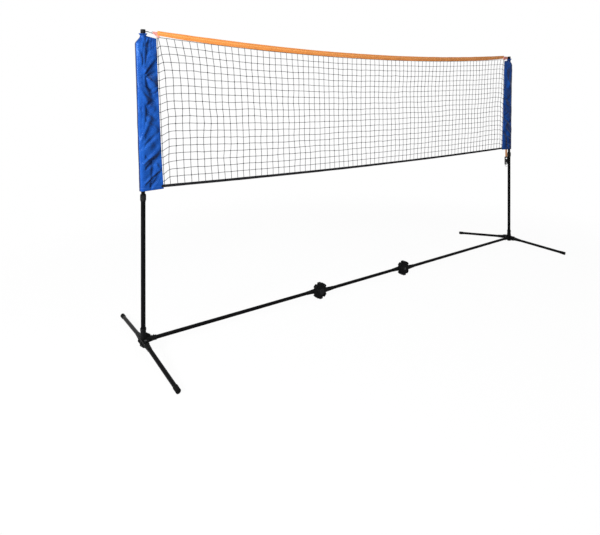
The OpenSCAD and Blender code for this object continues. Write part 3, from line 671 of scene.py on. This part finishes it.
# ---------- sleeves ----------
# Each sleeve is a flat tube of blue nylon taffeta that slips over the upper post, hemmed at the
# bottom and drawn in round the post at the top, where the cloth above the cord stands as a frill.
SLEEVE_RAISED = {"left": 0.0, "right": 0.013}
SLEEVE_SLACK = {"left": 0.85, "right": 0.45}
SLEEVE_NOSES = {"left": (0.0168, 0.038), "right": (0.0168, 0.028)}
SLEEVE_HALF = 0.0235
SLEEVE_FULL = 1.478
NECK_HEIGHT = 1.521
NECK_RADIUS = 0.0125
TAIL_FULL = 1.508
FRILL_HEIGHT = 0.009
FRILL_FLARE = 0.005
POST_CLEAR = 0.0112
RING_CLEAR = 0.0163
PLEATS = 15
CLOTH = 0.0007
SLEEVE_STEPS = 340
SLEEVE_POINTS = 136

# Folds of a sleeve's face: (share of the way to the net, metres above the hem) at both ends, then
# width and depth in millimetres. A valley is negative.
FACE_WIDTH = 0.115
FRONT_FOLDS = ((0.35, 0.545, 1.0, 0.575, 9, -9.0), (0.35, 0.545, 0.66, 0.470, 11, -8.0),
               (0.42, 0.580, 0.90, 0.640, 13, 7.0), (0.62, 0.530, 1.0, 0.500, 14, 8.0),
               (0.30, 0.610, 0.55, 0.690, 12, -7.0), (0.12, 0.250, 0.48, 0.335, 12, 8.0),
               (0.25, 0.390, 0.90, 0.350, 15, -9.0), (0.10, 0.205, 1.0, 0.285, 10, -8.0),
               (0.20, 0.135, 1.0, 0.205, 11, 8.0), (0.30, 0.110, 1.0, 0.165, 10, -9.0),
               (0.25, 0.040, 0.95, 0.100, 12, 7.0), (0.45, 0.010, 0.62, 0.130, 9, -6.0),
               (0.55, 0.420, 1.0, 0.440, 13, -7.0), (0.15, 0.660, 0.40, 0.560, 13, 7.0))


def fold_field(face, height, folds):
    """Sum of folds: each is a Gaussian of the distance to a line, which fades past its ends."""
    total = np.zeros(np.broadcast(face, height).shape)
    across, up = face * FACE_WIDTH, height + 0 * face
    for s0, h0, s1, h1, width, depth in folds:
        ax, ay = s0 * FACE_WIDTH, h0
        dx, dy = s1 * FACE_WIDTH - ax, h1 - ay
        length = math.hypot(dx, dy)
        run = ((across - ax) * dx + (up - ay) * dy) / length
        off = ((across - ax) * dy - (up - ay) * dx) / length
        past = np.maximum(0, np.maximum(-run, run - length))
        grow = width * 0.001 * (0.65 + 0.7 * np.clip(run / length, 0, 1))
        total += depth * 0.001 * np.exp(-(off / grow) ** 2 - (past / (2 * grow)) ** 2)
    return total


def random_folds(count, seed):
    """Slanted folds at seeded places: shorter and shallower than those that are listed."""
    random = np.random.default_rng(seed)
    s0, h0 = random.uniform(0.05, 0.95, count), random.uniform(0.0, 0.72, count)
    slant = random.choice([-1, 1], count) * random.uniform(0.25, 1.1, count)
    length = random.uniform(0.03, 0.11, count)
    s1 = s0 + length * np.cos(slant) / FACE_WIDTH
    h1 = h0 + length * np.sin(slant)
    depth = random.choice([-1, 1], count) * random.uniform(1.5, 5.0, count)
    return np.stack([s0, h0, s1, h1, random.uniform(6, 14, count), depth], 1)


def smooth(share):
    """Eases a share from 0 to 1, level at both ends: three of its square less two of its cube."""
    return share * share * (3 - 2 * share)


def sleeve_rings(side, seed, front_folds):
    """The tube of cloth. Round it, a blunt nose wraps the post and a flat tail meets the net; up
    it, the outline leans over. The nose closes to the neck first and the tail just under it, and
    the cloth above the neck flares."""
    t = np.linspace(0, 1, SLEEVE_STEPS)[:, None]
    base = sleeve_low.z + SLEEVE_RAISED[side]
    z = base + t * (NECK_HEIGHT + FRILL_HEIGHT - base)
    angle = (np.arange(SLEEVE_POINTS) * 2 * np.pi / SLEEVE_POINTS)[None, :]
    lean = np.clip((z - sleeve_low.z) / (SLEEVE_FULL - sleeve_low.z), 0, 1)
    close = smooth(np.clip((z - SLEEVE_FULL) / (NECK_HEIGHT - SLEEVE_FULL), 0, 1))
    shut = smooth(np.clip((z - TAIL_FULL) / (NECK_HEIGHT - TAIL_FULL), 0, 1))
    frill = np.clip((z - NECK_HEIGHT) / FRILL_HEIGHT, 0, 1)
    nose_low, nose_high = SLEEVE_NOSES[side]
    nose = -(nose_low + (nose_high - nose_low) * lean) * (1 - close) - NECK_RADIUS * close
    tail = sleeve_edge(z) * (1 - shut) + NECK_RADIUS * shut
    half = SLEEVE_HALF * (1 - close) + NECK_RADIUS * close
    far = (1 + np.cos(angle)) / 2
    taper = 1 - (1 - shut) * 0.84 * far ** 0.9
    x = (nose + tail) / 2 + (tail - nose) / 2 * np.cos(angle)
    y = np.sign(np.sin(angle)) * half * np.abs(np.sin(angle)) ** (0.7 + 0.3 * close) * taper
    random = fold_field(far, z - sleeve_low.z, random_folds(34, seed))
    front = fold_field(far, z - sleeve_low.z, front_folds) + random
    back = fold_field(far, z - sleeve_low.z, random_folds(44, seed + 1))
    slow = 0.0065 * drift((SLEEVE_STEPS, SLEEVE_POINTS + 1), (14, 7), seed + 2)[:, :-1]
    fine = 0.0007 * drift((SLEEVE_STEPS, SLEEVE_POINTS + 1), (75, 26), seed + 3)[:, :-1]
    calm = np.clip((z - base) / 0.03, 0.35, 1) * (1 - 0.8 * close)
    folds = np.where(np.sin(angle) < 0, front, back) + slow + fine
    push = SLEEVE_SLACK[side] * folds * calm * np.abs(np.sin(angle)) ** 0.3
    pleat = np.cos(PLEATS * angle + 2.2 * drift((SLEEVE_STEPS, SLEEVE_POINTS + 1), (3, 9), seed + 7)[:, :-1])
    reach = np.clip((z - SLEEVE_FULL + 0.07) / (NECK_HEIGHT - SLEEVE_FULL + 0.07), 0, 1)
    push = push + 0.0030 * reach ** 1.5 * (1 - 0.5 * close) * (1 - 0.8 * far * (1 - shut)) * pleat
    push = push + frill * (FRILL_FLARE + 0.002 * pleat)
    radius = np.hypot(x - (nose + tail) / 2, y) + 1e-6
    out_x = np.cos(angle) * (1 - close) + (x - (nose + tail) / 2) / radius * close
    out_y = np.sin(angle) * (1 - close) + y / radius * close
    x, y = x + push * out_x * (0.25 + 0.75 * close), y + push * out_y
    room = RING_CLEAR + (POST_CLEAR - RING_CLEAR) * close
    clear = np.maximum(1, room / np.maximum(np.hypot(x, y), 1e-6))
    direction = -1 if side == "left" else 1
    return in_net(direction * (net_half - x * clear), y * clear, z + 0 * angle)


BLUE_DEEP = (0.002, 0.028, 0.20, 1.0)
BLUE_CLEAR = (0.012, 0.088, 0.37, 1.0)
PAINTED_SHADE_NAVY = (0.004, 0.008, 0.044, 1.0)
SEWING_BLUE = (0.05, 0.14, 0.5, 1.0)
BLUE_SHEEN = (0.42, 0.72, 1.0, 1.0)
TAFFETA_THREAD = 0.0011


def taffeta():
    """Blue coated nylon: shiny, tinted reflections, a fine square weave and clouded depth. Painted
    shade: the colour darkens to navy where the cloth turns away from the camera."""
    material, tree = blank("blue_taffeta")
    spot = node(tree, "ShaderNodeTexCoord", {}, out=3)
    uv = node(tree, "ShaderNodeUVMap", {"uv_map": "cloth"})
    split = tree.nodes.new("ShaderNodeSeparateXYZ")
    tree.links.new(uv.socket, split.inputs[0])
    up, round_ = Wire(tree, split.outputs[0]), Wire(tree, split.outputs[1])
    cloud = node(tree, "ShaderNodeTexNoise", {}, spot, None, 16.0, 3.0, 0.6)
    turns = 2 * math.pi / TAFFETA_THREAD
    weave = up.math("SINE", up * turns) * up.math("SINE", round_ * turns)
    crinkle = node(tree, "ShaderNodeTexNoise", {}, spot, None, 55.0, 3.0, 0.55)
    colour = blend(tree, cloud, BLUE_DEEP, BLUE_CLEAR)
    # Painted shade: where the cloth turns away from the camera, its colour goes to navy.
    painted_shade_share = node(tree, "ShaderNodeLayerWeight", {}, 0.5, out=1)
    painted_shade_share = node(tree, "ShaderNodeMapRange", {}, painted_shade_share, 0.14, 0.42, 0.0, 0.86)
    colour = blend(tree, painted_shade_share, colour, PAINTED_SHADE_NAVY)
    hem_stitch = (1 - (up.math("ABSOLUTE", up - 0.014) > 0.0007)) * \
        (up.math("FRACT", round_ * 220.0) > 0.3)
    colour = blend(tree, 0.7 * hem_stitch, colour, SEWING_BLUE)
    height = 0.10 * weave + crinkle + 0.5 * hem_stitch
    bump = node(tree, "ShaderNodeBump", {}, Strength=0.45, Distance=0.0012, Height=height)
    show(tree, node(tree, "ShaderNodeBsdfPrincipled", {}, Base_Color=colour, Roughness=0.24 + 0.12 * cloud,
                    Specular_IOR_Level=0.22, Specular_Tint=BLUE_SHEEN, Normal=bump))
    return material


blue = taffeta()
for side, seed, folds in (("left", 101, FRONT_FOLDS), ("right", 211, FRONT_FOLDS[7:])):
    piece = skin(f"{side}_sleeve_cloth", sleeve_rings(side, seed, folds)[None], caps=False,
                 uv_size=(0.76, 0.27))
    wall = piece.modifiers.new("cloth", "SOLIDIFY")
    wall.thickness, wall.offset = CLOTH, -1.0
    finish_piece(piece, blue, "net_set", "blue_nylon", f"{side}_sleeve")

# ---------- straps ----------
# Short webbing pieces: a pink loop from each end of the band to the hook on the post cap, and an
# orange strap that hangs from the right sleeve and carries the cam buckle.
PINK = (0.70, 0.33, 0.27, 1.0)
PINK_DEEP = (0.50, 0.16, 0.14, 1.0)
PEACH = (0.84, 0.42, 0.17, 1.0)
PEACH_DEEP = (0.62, 0.24, 0.08, 1.0)
STRAP_THICK = 0.0022
STRAP_OVER = 0.009
STRAP_UNDER = 0.020
LINK_START = 0.019
LINK_RADIUS = 0.0013
EYE_REACH = {"left": 0.047, "right": 0.024}
EYE_GATHER = {"left": 0.006, "right": 0.011}
STRAP_REACH = 0.080


def band_strap(side):
    """A tape from the hook wire's eye to the band: it fans out from the eye, where it is gathered,
    and drops a little on its way to the band's end, which it covers."""
    t = np.linspace(0, 1, 40)
    along = net_half - EYE_REACH[side] - (STRAP_REACH - EYE_REACH[side]) * t
    direction = -1 if side == "left" else 1
    band_height = band_line(direction * (net_half - STRAP_REACH))
    ease = smooth(t)
    eye, gather = eye_height(side), EYE_GATHER[side]
    top = eye + gather + (band_height + STRAP_OVER - eye - gather) * ease
    low = eye - gather + (band_height - STRAP_UNDER - eye + gather) * ease
    up, out = tape_outline(1.0, STRAP_THICK, 24)
    fold = 0.0018 * np.sin(9 * t)[:, None] * up[None, :] * 2
    rings = in_net(direction * along[:, None], out[None, :] * (2.6 - 0.4 * ease)[:, None] + fold,
                   (top + low)[:, None] / 2 + up[None, :] * (top - low)[:, None])
    return skin(f"{side}_band_strap_tape", rings[None], uv_size=(0.04, 0.06))


def eye_height(side):
    """Height of the wire eye that holds the strap."""
    low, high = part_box(f"{side}_cap_hook")
    return (low.z + high.z) / 2 - 0.003


def hook_wire(side):
    """A wire link from the hook's ring out to the strap: it loops through the ring, runs out with a
    slight dip and turns back on itself round the gathered strap."""
    t = np.linspace(0, 1, 90)
    loop = 0.0042
    turn = 2 * np.pi * np.clip((t - 0.5) / 0.5, 0, 1)
    run = np.clip(t / 0.5, 0, 1)
    reach = LINK_START + (EYE_REACH[side] - LINK_START) * run + loop * np.sin(turn)
    rise = eye_height(side) + 0.003 * (1 - run) ** 2 + loop * (1 - np.cos(turn)) - loop * run ** 3
    direction = -1 if side == "left" else 1
    path = in_net(direction * (net_half - reach), 0.0022 * np.sin(turn / 2 + 0.4), rise)
    return skin(f"{side}_hook_link", tubes(path[None], LINK_RADIUS, 10), uv_size=(0.1, 0.01))


for side in SIDES:
    finish_piece(hook_wire(side), dark_wire, "net_set", "dark_wire")
pink = webbing("pink_webbing", PINK, PINK_DEEP, PINK, 0.022, stitched=False)
for side in SIDES:
    finish_piece(band_strap(side), pink, "net_set", "pink_webbing", f"{side}_band_strap")

strap_low, strap_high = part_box("tension_strap")
strap_along = net_half - 0.038
strap_t = np.linspace(0, 1, 60)
strap_width = 0.026
strap_up, strap_out = tape_outline(strap_width, STRAP_THICK, 28)
strap_height = strap_low.z + (strap_high.z + 0.016 - strap_low.z) * strap_t
strap_bow = 0.0015 * np.sin(np.pi * strap_t)
strap_rings = in_net(strap_along + strap_up[None, :], strap_out[None, :] + strap_bow[:, None],
                     strap_height[:, None] + 0 * strap_up[None, :])
strap = skin("tension_strap_tape", strap_rings[None], uv_size=(0.064, 2 * strap_width))
finish_piece(strap, webbing("peach_webbing", PEACH, PEACH_DEEP, ORANGE_THREAD, strap_width),
             "net_set", "pale_webbing", "tension_strap")
